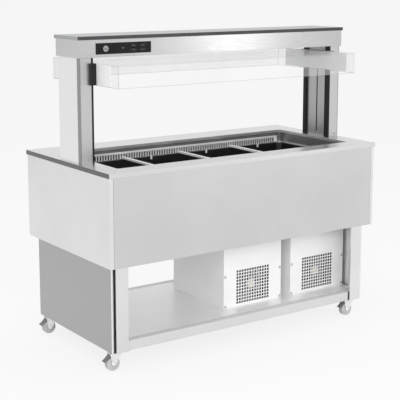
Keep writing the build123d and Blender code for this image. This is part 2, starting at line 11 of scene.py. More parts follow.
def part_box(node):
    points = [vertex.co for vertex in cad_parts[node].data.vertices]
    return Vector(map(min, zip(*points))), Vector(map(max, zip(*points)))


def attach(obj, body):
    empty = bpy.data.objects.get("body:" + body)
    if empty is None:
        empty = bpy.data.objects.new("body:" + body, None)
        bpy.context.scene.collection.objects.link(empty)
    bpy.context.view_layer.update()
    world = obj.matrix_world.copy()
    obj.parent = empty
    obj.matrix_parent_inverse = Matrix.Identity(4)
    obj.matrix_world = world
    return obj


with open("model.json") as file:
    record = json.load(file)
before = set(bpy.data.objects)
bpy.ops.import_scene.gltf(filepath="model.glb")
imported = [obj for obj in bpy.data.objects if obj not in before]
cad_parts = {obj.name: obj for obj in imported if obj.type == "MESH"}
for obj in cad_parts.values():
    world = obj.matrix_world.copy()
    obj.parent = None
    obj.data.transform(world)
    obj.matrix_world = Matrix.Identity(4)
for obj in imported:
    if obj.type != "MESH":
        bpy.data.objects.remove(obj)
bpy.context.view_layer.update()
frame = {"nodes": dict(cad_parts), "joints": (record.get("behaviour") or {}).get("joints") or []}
nodes = frame["nodes"]

bl_info = {
    "name": "Buffet island looks",
    "version": (1, 0, 0),
    "blender": (4, 5, 0),
    "location": "3D View > Sidebar > Island",
    "description": "Finishes, small hardware and studio for a refrigerated buffet island",
    "category": "Object",
}

corners = ("front_left", "front_right", "back_left", "back_right")
sides = ("left", "right")
forward = (0, -1, 0)
backward = (0, 1, 0)
downward = (0, 0, -1)
white = (1.0, 1.0, 1.0, 1.0)

# Depth of the fine bumps in the finishes, and the band at a sheet's end where its painted end tone begins,
# painted shade on some sheets and painted light on others
bump_depth = 0.0002
painted_end_band = (-0.0006, -0.0002)

# Bands at the ledge and round the air outlet where painted shade darkens the well's sheet, and the
# brightness its walls keep under painted shade
ledge_shade_band = (-0.006, -0.002)
outlet_top_shade_band = (-0.003, -0.001)
outlet_face_shade_band = (0.001, 0.002)
outlet_side_shade_band = (0.0, 0.001)
tank_wall_shade_share = 0.28

# Middles of the four bays of the well, counted in bays from its centre
bay_middles = (-1.5, -0.5, 0.5, 1.5)

# Where the column screws sit across a column, and their size as a share of the panel screws
column_screw_place = 0.62
column_screw_share = 0.7

# Where the pipes leave a compressor and turn to the back, as shares of its radius
pipe_start = 0.2
pipe_reach = 1.2

# Profiles of the hub cap, with radii as shares of its own, and of the pilot lamp: radius, then height
hub_cap_profile = ((0.0, 0.0), (1.0, 0.0), (0.92, 0.003), (0.5, 0.006), (0.0, 0.007))
pilot_profile = ((0.0, 0.0), (0.0030, 0.0), (0.0030, 0.0008), (0.0020, 0.0014), (0.0, 0.0016))

# Sizes of the printed marks: power sign, arrow, sun and star
mark_skin = 0.0002
ring_inner = 0.0088
ring_outer = 0.0116
power_bar_half = 0.0013
power_bar_foot = 0.001
power_bar_top = 0.007
arrow_half = 0.004
arrow_tip = 0.0028
arrow_foot = 0.0022
sun_radius = 0.0024
sun_rays = 8
ray_width = 0.0005
ray_length = 0.0012
ray_reach = 0.0038
star_bars = 3
star_width = 0.0006
star_span = 0.0088

# Half the side of the floor, and the sensor that the lens is stated for
floor_half = 30.0
sensor_width = 36.0

# Lamps: stage value with the power, place, target, width and height
studio_lamps = (
    ("key", (-3.4, -4.8, 3.6), (0, 0, 0.7), 2.5, 2.5),
    ("front", (-1.4, -5.0, 2.6), (0.2, 0, 0.3), 3.0, 1.4),
    ("strip", (2.6, -3.6, 1.2), (0, 0, 1.4), 0.5, 1.4),
    ("top", (0.0, 0.5, 4.5), (0, 0, 0.8), 3.5, 3.5),
)


def length_prop(name, description, default):
    """Length in metres."""
    return bpy.props.FloatProperty(
        name=name,
        description=description,
        default=default,
        min=0.0,
        precision=5,
        subtype="DISTANCE",
        unit="LENGTH",
    )


def color_prop(name, description, default):
    """Colour of a finish."""
    return bpy.props.FloatVectorProperty(
        name=name, description=description, default=default, size=3, min=0.0, max=1.0, subtype="COLOR"
    )


def factor_prop(name, description, default):
    """Share from nothing to all."""
    return bpy.props.FloatProperty(
        name=name, description=description, default=default, min=0.0, max=1.0, subtype="FACTOR"
    )


def power_prop(name, description, default):
    """Power of a lamp in watts."""
    return bpy.props.FloatProperty(
        name=name, description=description, default=default, min=0.0, subtype="POWER"
    )


class IslandFinishes(bpy.types.PropertyGroup):
    """Colours and surface detail of the finishes."""

    # Painted light and shade: the skirts are one stainless, drawn as a darker copy on the front and back
    # and a lighter copy on the ends and post covers
    steel: color_prop("Stainless", "Colour of the brushed panels along the length", (0.64, 0.64, 0.64))
    lit_steel: color_prop("Side stainless", "Colour of the brushed panels at the ends", (0.77, 0.77, 0.77))
    # Painted shade: the beam is the same stainless, drawn darker for the darker surroundings it mirrors
    beam_steel_shade: color_prop("Beam", "Colour of the gantry beam", (0.57, 0.57, 0.57))
    # Painted light and shade on the columns: darker fronts, lighter outer sides, both one stainless
    column_front_shade: color_prop("Column front", "Colour of the columns' fronts", (0.56, 0.56, 0.56))
    column_side_light: color_prop("Column side", "Colour of the columns' outer sides", (0.84, 0.84, 0.84))
    # Painted shade: the end panels' outer faces are drawn darker, for the shade under the overhanging
    # skirts
    base_panel_shade: color_prop("Base panels", "Colour of the end panels of the base", (0.43, 0.43, 0.435))
    trim_steel: color_prop("Column trim", "Colour of the trim on the columns", (0.30, 0.30, 0.305))
    panel_steel: color_prop("Column panels", "Colour of the columns' inner panels", (0.42, 0.42, 0.425))
    frame_steel: color_prop("Base frame", "Colour of the base frame", (0.68, 0.68, 0.68))
    lid_steel: color_prop("Lid", "Colour of the gantry lid", (0.42, 0.43, 0.44))
    deck: color_prop("Deck", "Colour of the deck", (0.70, 0.70, 0.70))
    # Painted shade: the deck's turned-down ends are drawn dark for how light falls on them
    deck_end: color_prop("Deck ends", "Colour of the deck's turned-down ends", (0.16, 0.16, 0.16))
    # Painted shade: the well is drawn near black below its ledge and behind the air outlet
    tank_shade: color_prop("Tank floor", "Colour of the well below its ledge", (0.030, 0.030, 0.032))
    shelf_steel: color_prop("Shelf", "Colour of the shelf, well and base fronts", (0.88, 0.88, 0.88))
    steel_roughness: factor_prop("Steel roughness", "Mean roughness of the brushed panels", 0.34)
    beam_roughness: factor_prop("Beam roughness", "Mean roughness of the gantry beam", 0.22)
    lid_roughness: factor_prop("Lid roughness", "Mean roughness of the gantry lid", 0.40)
    grain_length: length_prop("Grain length", "Length of one brush line", 0.060)
    grain_width: length_prop("Grain width", "Width of one brush line", 0.0008)
    edge_radius: length_prop("Edge radius", "Soft radius drawn on folded edges", 0.0015)
    # The black is the rails' and shoes' own colour, and also colours the strips drawn as painted shade in
    # grooves and seams
    black: color_prop("Black plastic", "Colour of rails, shoes and seals", (0.018, 0.018, 0.019))
    trim: color_prop("Trim", "Colour of the dark edging", (0.045, 0.045, 0.048))
    fascia: color_prop("Fascia", "Colour of the control fascia", (0.010, 0.010, 0.011))
    button: color_prop("Button", "Colour of the round button", (0.16, 0.16, 0.165))
    keys: color_prop("Keys", "Colour of the small keys", (0.022, 0.022, 0.023))
    button_mark: color_prop("Button mark", "Colour of the mark on the button", (0.50, 0.50, 0.50))
    key_mark: color_prop("Key marks", "Colour of the marks on the keys", (0.20, 0.20, 0.20))
    lamp: color_prop("Lamp", "Colour of the pilot lamp", (0.16, 0.17, 0.16))
    clear: color_prop("Hood", "Tint of the clear hood", (0.80, 0.81, 0.81))
    # Painted shade: the hood's edges are drawn darker for light bending at its polished edges
    clear_edge_shade: color_prop("Hood edge", "Colour of the edges of the clear hood", (0.36, 0.37, 0.37))
    hood_cover: factor_prop("Hood cover", "How much the clear hood covers, seen face on", 0.13)
    hood_graze: factor_prop("Hood graze", "How much the clear hood covers, seen along its face", 0.16)
    plate_paint: color_prop("Plates", "Colour of the carriage plates", (0.92, 0.92, 0.92))
    rod: color_prop("Rods", "Colour of the plated lift rods", (0.70, 0.70, 0.70))
    actuator: color_prop("Actuators", "Colour of the lift actuators", (0.06, 0.06, 0.065))
    unit_paint: color_prop("Unit paint", "Colour of the condensing unit covers", (0.94, 0.94, 0.94))
    shroud: color_prop("Shroud", "Colour of the fan shrouds", (0.008, 0.008, 0.008))
    machine: color_prop("Machine black", "Colour of fan motors and compressors", (0.020, 0.020, 0.022))
    fan: color_prop("Fan", "Colour of the fan blades", (0.012, 0.012, 0.013))
    hub: color_prop("Fan hub", "Colour of the caps on the fan hubs", (0.92, 0.82, 0.68))
    coil: color_prop("Coils", "Colour of the coil fins", (0.55, 0.56, 0.57))
    copper: color_prop("Copper", "Colour of the cooling pipes", (0.72, 0.36, 0.22))
    foam: color_prop("Foam", "Colour of the insulation", (0.72, 0.62, 0.38))
    unit_screw: color_prop("Unit screws", "Colour of the screws in the unit fronts", (0.62, 0.62, 0.62))
    column_screw: color_prop("Column screws", "Colour of the screws in the columns", (0.35, 0.35, 0.35))
    fork: color_prop("Forks", "Colour of the plated caster forks", (0.86, 0.86, 0.87))
    wheel: color_prop("Wheel", "Colour of the caster wheels", (0.55, 0.55, 0.56))
    pedal: color_prop("Pedals", "Colour of the brake pedals", (0.16, 0.16, 0.165))


class IslandDetails(bpy.types.PropertyGroup):
    """Sizes of the small hardware."""

    screw_head: length_prop("Screw head", "Diameter of the panel screws", 0.013)
    screw_inset: length_prop("Screw inset", "Distance of the panel screws from the edges", 0.009)
    nut_flats: length_prop("Nut flats", "Width across flats of the axle nuts", 0.013)
    nut_height: length_prop("Nut height", "Thickness of the axle nuts", 0.005)
    nut_offset: length_prop("Nut offset", "Distance of the axle nuts from the wheel's faces", 0.005)
    plate_bolt_flats: length_prop("Plate bolt flats", "Width across flats of the caster bolts", 0.0104)
    plate_bolt_height: length_prop("Plate bolt height", "Thickness of the caster bolts' heads", 0.0035)
    bolt_spread: length_prop("Bolt spread", "Distance of a caster bolt from the swivel on X and Y", 0.028)
    plate_sheet: length_prop("Plate sheet", "Thickness of the casters' top plates", 0.003)
    clip_width: length_prop("Clip width", "Width of the clips under the pan ledge", 0.010)
    clip_drop: length_prop("Clip drop", "Height of the clips under the pan ledge", 0.018)
    clip_thickness: length_prop("Clip thickness", "Thickness of the clips under the pan ledge", 0.003)
    clip_setback: length_prop("Clip setback", "Distance of the clips from the back of the pan bars", 0.008)
    clip_lap: length_prop("Clip lap", "How far the clips rise over the ledge", 0.001)
    hub_cap: length_prop("Hub cap", "Diameter of the caps on the fan hubs", 0.050)
    pipe: length_prop("Pipe", "Diameter of the copper pipes", 0.010)
    pipe_rise: length_prop("Pipe rise", "Mean height of the pipes over the compressors", 0.030)
    pipe_stagger: length_prop("Pipe stagger", "How far one pipe is above that height and one below", 0.020)
    pipe_bend: length_prop("Pipe bend", "Size of the bends of the pipes", 0.010)
    pipe_sink: length_prop("Pipe sink", "Depth of the pipes in the compressors", 0.002)
    pipe_stand: length_prop("Pipe stand", "Distance of the pipes from the coils", 0.004)
    pipe_turn: length_prop("Pipe turn", "Distance from the coils where the pipes turn down", 0.012)
    pipe_foot: length_prop("Pipe foot", "Height of the pipes' ends over the foot of the coils", 0.060)
    # The dark strips are painted shade, laid in the corner grooves, beside the post covers and in the
    # shelf's seam
    seal: length_prop("Seal", "Thickness of the dark strips in grooves and seams", 0.0008)
    shade_strip_width: length_prop("Seal width", "Width of the dark strips beside the post covers", 0.0048)
    shade_strip_drop: length_prop("Seal drop", "Distance of those strips from the top of the shelf", 0.002)
    cover: length_prop("Cover", "Width of the corner post covers", 0.064)
    hair_gap: length_prop("Hair gap", "Gap drawn between the hood's end walls and the plates", 0.0001)
    lamp_inset: length_prop("Lamp inset", "Distance of the pilot lamp from the fascia's left end", 0.138)


class IslandStage(bpy.types.PropertyGroup):
    """Camera, floor and lamps."""

    camera_place: bpy.props.FloatVectorProperty(
        name="Camera place",
        description="Where the camera stands",
        default=(-3.0116, -4.2941, 1.7436),
        size=3,
        subtype="TRANSLATION",
        unit="LENGTH",
    )
    camera_yaw: bpy.props.FloatProperty(
        name="Camera yaw",
        description="Turn of the camera about Z",
        default=radians(-34.8084),
        subtype="ANGLE",
    )
    camera_pitch: bpy.props.FloatProperty(
        name="Camera pitch",
        description="How far the camera looks down",
        default=radians(9.775),
        subtype="ANGLE",
    )
    camera_lens: bpy.props.FloatProperty(
        name="Lens",
        description="Focal length on a 36 mm sensor",
        default=96.44,
        subtype="DISTANCE_CAMERA",
    )
    camera_shift: bpy.props.FloatProperty(
        name="Shift", description="Upward shift of the view", default=-0.10
    )
    floor: color_prop("Floor", "Colour of the floor", (0.80, 0.80, 0.80))
    room_light: factor_prop("Room light", "Strength of the room's light on the object", 0.75)
    backdrop: factor_prop("Backdrop", "Brightness of the backdrop as it is seen", 0.92)
    floor_glow: factor_prop("Floor glow", "Share of plain white in the floor as it is seen", 0.80)
    key: power_prop("Key", "Power of the key lamp", 75.0)
    front: power_prop("Front", "Power of the front lamp", 55.0)
    strip: power_prop("Strip", "Power of the strip lamp", 4.0)
    top: power_prop("Top", "Power of the top lamp", 45.0)


def finishes():
    """Colours and surface detail, as set."""
    return bpy.context.scene.island_finishes


def details():
    """Sizes of the small hardware, as set."""
    return bpy.context.scene.island_details


class Shader:
    """Short way to make nodes and links in one material."""

    def __init__(self, name):
        self.material = bpy.data.materials.new(name)
        self.material.use_nodes = True
        self.tree = self.material.node_tree
        self.surface = self.tree.nodes["Principled BSDF"]
        self.output = self.tree.nodes["Material Output"]

    def node(self, kind, **inputs):
        """New node with some of its inputs set."""
        made = self.tree.nodes.new(kind)
        for name, value in inputs.items():
            made.inputs[name.replace("_", " ")].default_value = value
        return made

    def link(self, source, target):
        """Link from an output to an input."""
        self.tree.links.new(source, target)

    def set(self, **inputs):
        """Constant values on the surface's own inputs."""
        for name, value in inputs.items():
            self.surface.inputs[name.replace("_", " ")].default_value = value

    def feed(self, factor, name):
        """Link from a factor to one of the surface's inputs."""
        self.link(factor, self.surface.inputs[name])

    def grain(self, scale, detail=3.0):
        """Noise in object space, stretched by a scale along each axis."""
        where = self.node("ShaderNodeTexCoord")
        stretch = self.node("ShaderNodeMapping", Scale=scale)
        noise = self.node("ShaderNodeTexNoise", Scale=1.0, Detail=detail, Roughness=0.6)
        self.link(where.outputs["Object"], stretch.inputs["Vector"])
        self.link(stretch.outputs["Vector"], noise.inputs["Vector"])
        return noise.outputs["Fac"]

    def speckle(self, density, detail=3.0):
        """Noise in object space, the same along each axis."""
        return self.grain((density, density, density), detail)

    def axis(self, source, name):
        """One axis of a texture coordinate, such as Object or Normal."""
        where = self.node("ShaderNodeTexCoord")
        parts = self.node("ShaderNodeSeparateXYZ")
        self.link(where.outputs[source], parts.inputs["Vector"])
        return parts.outputs[name]

    def calc(self, choice, *factors):
        """Result of one calculation on one or two factors."""
        made = self.node("ShaderNodeMath")
        made.operation = choice
        for socket, factor in zip(made.inputs, factors):
            self.link(factor, socket)
        return made.outputs["Value"]

    def off_centre(self):
        """Distance from the island's middle along X."""
        return self.calc("ABSOLUTE", self.axis("Object", "X"))

    def spread(self, factor, low, high, start=0.3, end=0.7):
        """Maps a factor to a range of values."""
        made = self.node("ShaderNodeMapRange", From_Min=start, From_Max=end, To_Min=low, To_Max=high)
        self.link(factor, made.inputs["Value"])
        return made.outputs["Result"]

    def beyond(self, factor, limit, band, low=0.0, high=1.0):
        """Goes from one value to another in a band at a limit."""
        return self.spread(factor, low, high, limit + band[0], limit + band[1])

    def roughen(self, factor, mean, below, above):
        """Roughness that varies about a mean with a factor."""
        self.feed(self.spread(factor, mean - below, mean + above), "Roughness")

    def fade(self, factor, first, second, start=0.3, end=0.7):
        """Surface colour that goes from one to another with a factor."""
        ramp = self.node("ShaderNodeValToRGB")
        for stop, place, color in zip(ramp.color_ramp.elements, (start, end), (first, second)):
            stop.position = place
            stop.color = (*color, 1.0)
        self.link(factor, ramp.inputs["Fac"])
        self.feed(ramp.outputs["Color"], "Base Color")

    def tint(self, factor, color, low, high):
        """Surface colour that varies in brightness with a factor."""
        self.fade(factor, [c * low for c in color], [min(1.0, c * high) for c in color])

    def relief(self, factor, strength, edge=0.0, depth=bump_depth):
        """Bump from a factor over edges drawn with a soft radius."""
        bump = self.node("ShaderNodeBump", Strength=strength, Distance=depth)
        self.link(factor, bump.inputs["Height"])
        if edge > 0.0:
            bevel = self.node("ShaderNodeBevel", Radius=edge)
            bevel.samples = 4
            self.link(bevel.outputs["Normal"], bump.inputs["Normal"])
        self.feed(bump.outputs["Normal"], "Normal")


def brushed_sheet(name, roughness, along):
    """Shader of a sheet with fine lines along one axis and soft folds, still without its colour."""
    look = finishes()
    shader = Shader(name)
    scale = [1.0 / look.grain_width] * 3
    scale["XYZ".index(along)] = 1.0 / look.grain_length
    lines = shader.grain(scale)
    shader.set(Metallic=1.0)
    shader.roughen(lines, roughness, below=0.05, above=0.07)
    shader.relief(lines, strength=0.06, edge=look.edge_radius)
    return shader


def brushed_steel(name, color, roughness, along):
    """Brushed sheet with faint smudges."""
    shader = brushed_sheet(name, roughness, along)
    smudge = shader.speckle(density=2.2, detail=4.0)
    shader.tint(smudge, color, low=0.95, high=1.04)
    return shader.material


def steel_with_painted_ends(name, color, painted_end_tone, half_length, roughness, along):
    """Brushed sheet whose outermost faces along X have another colour, a painted end tone: painted shade on
    some sheets, painted light on others.
    """
    shader = brushed_sheet(name, roughness, along)
    outside = shader.beyond(shader.off_centre(), half_length, painted_end_band)
    shader.fade(outside, color, painted_end_tone)
    return shader.material


def satin_sheet(name, roughness, metallic):
    """Shader of a bead-blasted sheet, still without its colour."""
    shader = Shader(name)
    blast = shader.speckle(density=700.0, detail=2.0)
    shader.set(Metallic=metallic)
    shader.roughen(blast, roughness, below=0.05, above=0.06)
    shader.relief(blast, strength=0.05, edge=finishes().edge_radius)
    return shader


def satin_steel(name, color, roughness, metallic=0.15):
    """Bead-blasted sheet that scatters light more than it mirrors."""
    shader = satin_sheet(name, roughness, metallic)
    tone = shader.speckle(density=3.0, detail=4.0)
    shader.tint(tone, color, low=0.96, high=1.03)
    return shader.material


def shaded_tank_steel(name, color, shade_color, outlet_low, outlet_high, roughness):
    """Satin sheet with painted shade: dim walls, dark below the pan ledge and behind the air outlet."""
    shader = satin_sheet(name, roughness, metallic=0.7)
    level = shader.axis("Object", "Z")
    over_ledge = shader.beyond(level, outlet_low.z, ledge_shade_band)
    over_outlet = shader.beyond(level, outlet_high.z, outlet_top_shade_band)
    before = shader.beyond(shader.axis("Object", "Y"), outlet_low.y, outlet_face_shade_band, low=1.0, high=0.0)
    beside = shader.beyond(shader.off_centre(), outlet_high.x, outlet_side_shade_band)
    clear = shader.calc("MAXIMUM", over_outlet, shader.calc("MAXIMUM", before, beside))
    # Walls facing sideways keep only part of the colour as painted shade
    upward = shader.spread(shader.axis("Normal", "Z"), tank_wall_shade_share, 1.0, start=0.2, end=0.8)
    bright = shader.calc("MINIMUM", upward, shader.calc("MINIMUM", over_ledge, clear))
    shader.fade(bright, shade_color, color, start=0.0, end=1.0)
    return shader.material


def moulded_plastic(name, color, roughness, texture=900.0, gloss=0.5):
    """Moulded plastic with a fine grain and slight variation."""
    shader = Shader(name)
    shader.set(Specular_IOR_Level=gloss)
    grain = shader.speckle(texture)
    tone = shader.speckle(density=14.0, detail=4.0)
    shader.tint(tone, color, low=0.88, high=1.14)
    shader.roughen(grain, roughness, below=0.06, above=0.08)
    shader.relief(grain, strength=0.12, edge=finishes().edge_radius / 2)
    return shader.material


def sprayed_paint(name, color, roughness, gloss=0.5):
    """Sprayed paint with a faint orange peel."""
    shader = Shader(name)
    shader.set(Specular_IOR_Level=gloss)
    peel = shader.speckle(density=420.0, detail=2.0)
    tone = shader.speckle(density=5.0, detail=4.0)
    shader.tint(tone, color, low=0.96, high=1.03)
    shader.roughen(tone, roughness, below=0.05, above=0.06)
    shader.relief(peel, strength=0.10, edge=finishes().edge_radius)
    return shader.material


def plated_steel(name, color, roughness):
    """Plated metal with a mottled crystal bloom."""
    shader = Shader(name)
    bloom = shader.speckle(density=160.0, detail=5.0)
    shader.tint(bloom, color, low=0.82, high=1.12)
    shader.set(Metallic=1.0)
    shader.roughen(bloom, roughness, below=0.08, above=0.12)
    shader.relief(bloom, strength=0.05, edge=finishes().edge_radius / 2)
    return shader.material


def clear_sheet(name, color, edge_shade):
    """Clear polished sheet with faint wiping marks and edges darkened as painted shade for light bending at
    them.
    """
    look = finishes()
    shader = Shader(name)
    marks = shader.grain(scale=(3.0, 40.0, 40.0))
    shader.set(IOR=1.49)
    shader.feed(shader.spread(marks, low=0.01, high=0.03), "Roughness")
    bevel = shader.node("ShaderNodeBevel", Radius=3 * look.edge_radius)
    bevel.samples = 6
    shape = shader.node("ShaderNodeNewGeometry")
    turn = shader.node("ShaderNodeVectorMath")
    turn.operation = "DOT_PRODUCT"
    shader.link(bevel.outputs["Normal"], turn.inputs[0])
    shader.link(shape.outputs["Normal"], turn.inputs[1])
    # The edges are darkened as painted shade for light bending at them
    edge = shader.spread(turn.outputs["Value"], low=1.0, high=0.0, start=0.80, end=0.98)
    shader.fade(edge, color, edge_shade, start=0.0, end=1.0)
    weight = shader.node("ShaderNodeLayerWeight", Blend=0.5)
    cover = shader.spread(weight.outputs["Facing"], look.hood_cover, look.hood_graze, start=0.0, end=1.0)
    shader.feed(shader.calc("MAXIMUM", cover, edge), "Alpha")
    return shader.material


def foam_board(name, color):
    """Open foam with small cells."""
    shader = Shader(name)
    cells = shader.speckle(density=300.0, detail=4.0)
    shader.tint(cells, color, low=0.85, high=1.10)
    shader.set(Roughness=0.9)
    shader.relief(cells, strength=0.5, depth=0.001)
    return shader.material


def lit_lamp(name, color):
    """Small lit lens."""
    shader = Shader(name)
    glow = shader.speckle(density=2000.0)
    shader.tint(glow, color, low=0.8, high=1.2)
    shader.set(Roughness=0.25, Emission_Color=(*color, 1.0), Emission_Strength=0.3)
    return shader.material


def dress(names, material):
    """Gives a finish to CAD nodes."""
    for name in names:
        for place in nodes[name].material_slots:
            place.material = material


def piece(name, mesh, body, material):
    """New object from a bmesh, riding on a body."""
    data = bpy.data.meshes.new(name)
    bmesh.ops.recalc_face_normals(mesh, faces=mesh.faces)
    mesh.to_mesh(data)
    mesh.free()
    data.materials.append(material)
    made = bpy.data.objects.new(name, data)
    bpy.context.scene.collection.objects.link(made)
    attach(made, body)


def lathe(mesh, profile, turn, steps):
    """Closed revolved form of (radius, height) points about Z, placed by a matrix."""
    rings = []
    for radius, height in profile:
        if radius == 0.0:
            rings.append([mesh.verts.new(turn @ Vector((0.0, 0.0, height)))])
            continue
        ring = []
        for step in range(steps):
            angle = 2 * pi * step / steps
            ring.append(mesh.verts.new(turn @ Vector((radius * cos(angle), radius * sin(angle), height))))
        rings.append(ring)
    for lower, upper in zip(rings, rings[1:]):
        for step in range(steps):
            after = (step + 1) % steps
            loop = [lower[step % len(lower)], lower[after % len(lower)]]
            loop += [upper[after % len(upper)], upper[step % len(upper)]]
            face = list(dict.fromkeys(loop))
            if len(face) > 2:
                mesh.faces.new(face)


def facing(place, normal):
    """Matrix that puts a form's Z along a normal at a place."""
    return Matrix.Translation(Vector(place)) @ Vector(normal).to_track_quat("Z", "Y").to_matrix().to_4x4()


def screw(mesh, place, normal, diameter):
    """Pan head with a socket."""
    r = diameter / 2
    socket = [(0.0, 0.25 * r), (0.42 * r, 0.25 * r)]
    head = [(0.46 * r, 0.62 * r), (0.80 * r, 0.52 * r), (0.97 * r, 0.25 * r), (r, 0.0), (0.0, 0.0)]
    lathe(mesh, socket + head, facing(place, normal), steps=14)


def hexagon(mesh, place, normal, flats, height):
    """Hexagon head with a washer face and a turned top."""
    r = flats / 2 / cos(pi / 6)
    rim = 1.02 * r
    crown = 0.84 * r
    washer = 0.18 * height
    shoulder = 0.86 * height
    turn = facing(place, normal)
    lathe(mesh, [(0.0, 0.0), (rim, 0.0), (rim, washer), (0.0, washer)], turn, steps=18)
    body = [(0.0, washer), (r, washer), (r, shoulder), (crown, height), (0.0, height)]
    lathe(mesh, body, turn, steps=6)


def pipe(mesh, points, radius, facets):
    """Closed tube along points."""
    points = [Vector(point) for point in points]
    steps = [(after - before).normalized() for before, after in zip(points, points[1:])]
    heading = steps[0]
    out = heading.orthogonal().normalized()
    rings = []
    for index, point in enumerate(points):
        way = (steps[max(index - 1, 0)] + steps[min(index, len(steps) - 1)]).normalized()
        out = heading.rotation_difference(way) @ out
        heading = way
        ring = []
        for facet in range(facets):
            turned = Matrix.Rotation(2 * pi * facet / facets, 3, way) @ out
            ring.append(mesh.verts.new(point + turned * radius))
        rings.append(ring)
    for lower, upper in zip(rings, rings[1:]):
        for facet in range(facets):
            after = (facet + 1) % facets
            mesh.faces.new((lower[facet], lower[after], upper[after], upper[facet]))
    mesh.faces.new(rings[0])
    mesh.faces.new(rings[-1])


def bar(mesh, low, high):
    """Rectangular bar between two corners."""
    size = Vector(high) - Vector(low)
    turn = Matrix.Translation((Vector(low) + Vector(high)) / 2) @ Matrix.Diagonal((*size, 1.0))
    bmesh.ops.create_cube(mesh, size=1.0, matrix=turn)


def spoke(mesh, turn, width, length, reach, lift):
    """Thin printed bar that points away from a mark's middle."""
    verts = bmesh.ops.create_cube(mesh, size=1.0)["verts"]
    size = Matrix.Diagonal((width, length, mark_skin, 1.0))
    shift = Matrix.Translation((0.0, reach, lift))
    bmesh.ops.transform(mesh, verts=verts, matrix=turn @ shift @ size)


def power_mark(mesh, middle):
    """Ring with an upright bar."""
    ring = [(ring_inner, 0.0), (ring_inner, mark_skin), (ring_outer, mark_skin), (ring_outer, 0.0)]
    lathe(mesh, ring + ring[:1], facing(middle, forward), steps=32)
    low = (middle.x - power_bar_half, middle.y - mark_skin, middle.z - power_bar_foot)
    bar(mesh, low, (middle.x + power_bar_half, middle.y, middle.z + power_bar_top))


def arrow_mark(mesh, middle, way):
    """Triangle that points up or down."""
    tip = middle.z + way * arrow_tip
    foot = middle.z - way * arrow_foot
    outline = [(middle.x - arrow_half, foot), (middle.x + arrow_half, foot), (middle.x, tip)]
    front = [mesh.verts.new((px, middle.y - mark_skin, pz)) for px, pz in outline]
    back = [mesh.verts.new((px, middle.y, pz)) for px, pz in outline]
    mesh.faces.new(front)
    mesh.faces.new(back)
    for step in range(3):
        after = (step + 1) % 3
        mesh.faces.new((front[step], front[after], back[after], back[step]))


def raise_mark(mesh, middle):
    """Arrow up."""
    arrow_mark(mesh, middle, 1)


def lower_mark(mesh, middle):
    """Arrow down."""
    arrow_mark(mesh, middle, -1)


def sun_mark(mesh, middle):
    """Disc with rays."""
    turn = facing(middle, forward)
    disc = [(0.0, 0.0), (sun_radius, 0.0), (sun_radius, mark_skin), (0.0, mark_skin)]
    lathe(mesh, disc, turn, steps=20)
    for step in range(sun_rays):
        ray = turn @ Matrix.Rotation(2 * pi * step / sun_rays, 4, "Z")
        spoke(mesh, ray, ray_width, ray_length, ray_reach, mark_skin / 2)


def star_mark(mesh, middle):
    """Crossed bars, each a little above the one before."""
    turn = facing(middle, forward)
    for step in range(star_bars):
        arm = turn @ Matrix.Rotation(pi * step / star_bars, 4, "Z")
        spoke(mesh, arm, star_width, star_span, 0.0, mark_skin / 2 + step * mark_skin / 4)


